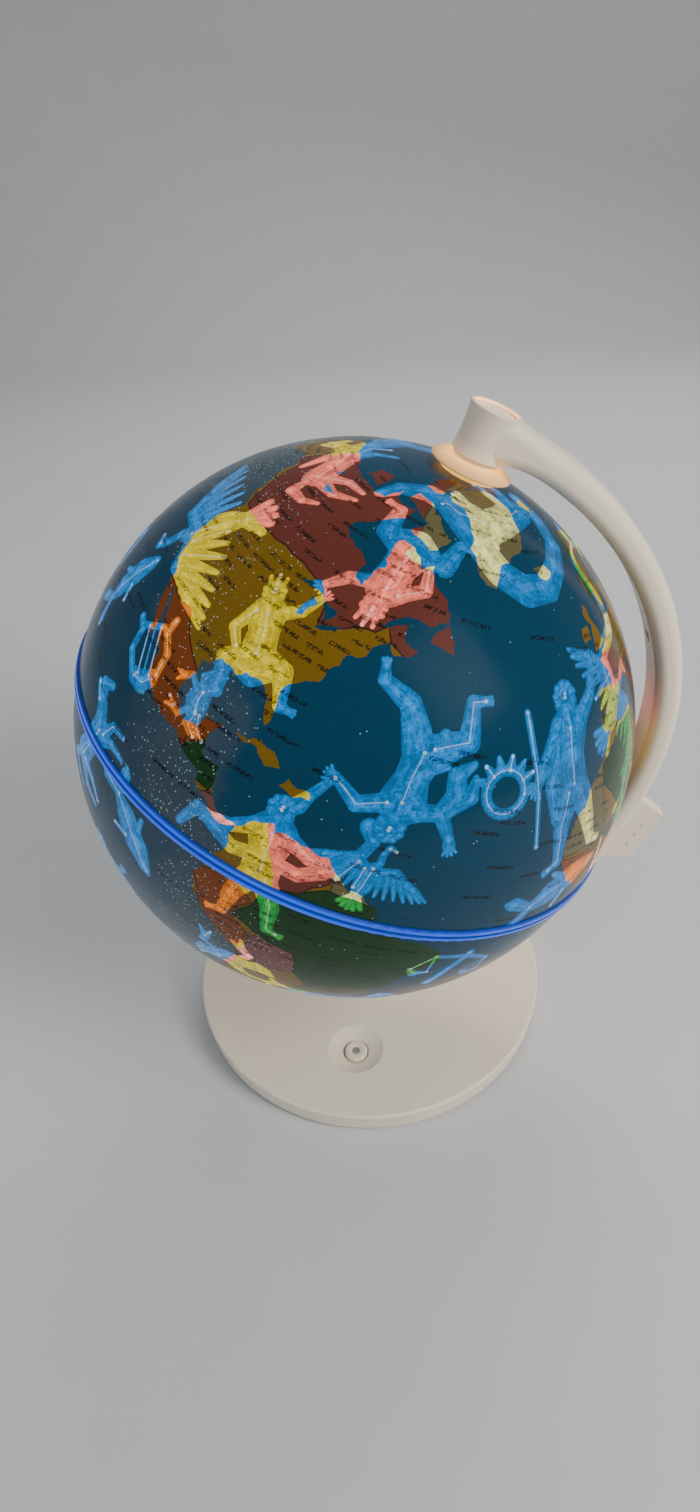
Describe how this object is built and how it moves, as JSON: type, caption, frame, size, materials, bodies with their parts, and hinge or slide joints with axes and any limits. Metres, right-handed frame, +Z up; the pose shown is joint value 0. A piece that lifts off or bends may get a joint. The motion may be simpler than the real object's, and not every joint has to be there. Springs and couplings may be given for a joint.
{
  "type": "celestial globe",
  "caption": "Lit tabletop globe turning on a tilted axle in a C-shaped arm, over a round base with a push button.",
  "frame": {"origin": "on the table under the centre of the round base, at the middle of the rubber pad it stands on", "axes": "+Z up, +X toward the side where the arm and its pod pass the ball's equator, -Y toward the push button"},
  "size_m": [0.2224, 0.2018, 0.2635],
  "materials": {
    "printed_shell": "glossy printed translucent shell",
    "blue_ring": "glossy blue",
    "clear_collar": "translucent, warm where the lamp shines through",
    "bearing_plastic": "natural acetal",
    "felt": "pressed felt",
    "axle_steel": "ground tube",
    "satin_white": "satin off-white",
    "screw_steel": "zinc plated",
    "circuit_board": "green lacquer",
    "socket_metal": "pressed shell",
    "cable_sheath": "white sheath",
    "lamp_aluminium": "extruded",
    "white_board": "white lacquer",
    "led_chip": "lit emitter",
    "diffuser": "opal",
    "inner_plastic": "moulded, fine grain",
    "foot_rubber": "soft rubber",
    "ballast_steel": "blackened",
    "battery_wrap": "film wrap",
    "lead_red": "insulation",
    "switch_black": "moulded",
    "dark_lens": "smoked"
  },
  "bodies": {
    "stand": {"axle_tube": "axle_steel", "axle_nuts": "screw_steel", "felt_washers": "felt", "top_cap": "clear_collar", "bottom_cap": "clear_collar", "arm_outer_shell": "satin_white", "arm_inner_cover": "satin_white", "arm_cover_screws": "screw_steel", "pod_housing": "satin_white", "pod_screws": "screw_steel", "charge_board": "circuit_board", "charge_socket": "socket_metal", "lamp_cable": "cable_sheath", "charge_cable": "cable_sheath", "lamp_holder": "lamp_aluminium", "led_boards": "white_board", "led_chips": "led_chip", "lamp_diffuser": "diffuser", "diffuser_end": "diffuser", "base_cover": "satin_white", "base_plate": "inner_plastic", "base_screws": "screw_steel", "non_slip_pad": "foot_rubber", "ballast_plate": "ballast_steel", "battery_cell": "battery_wrap", "battery_leads": "lead_red", "control_board": "circuit_board", "tact_switch": "switch_black", "stand_neck": "satin_white", "neck_screws": "screw_steel", "arm_bolts": "screw_steel"},
    "globe": {"north_hemisphere": "printed_shell", "south_hemisphere": "printed_shell", "equator_ring": "blue_ring", "north_collar": "clear_collar", "south_collar": "clear_collar", "north_bush": "bearing_plastic", "south_bush": "bearing_plastic", "collar_clips": "bearing_plastic"},
    "button": {"button_cap": "satin_white", "button_lens": "dark_lens", "switch_plunger": "switch_black"}
  },
  "joints": [
    {"name": "globe_spin", "type": "hinge", "parent": "stand", "child": "globe", "pos_m": [0, 0, 0.15], "axis": [0.3987, 0, 0.9171], "continuous": true},
    {"name": "button_press", "type": "slide", "parent": "stand", "child": "button", "axis": [0, 0, -1], "range_m": [0, 0.0007], "stiffness_N_per_m": 600, "springref_m": -0.001}
  ]
}
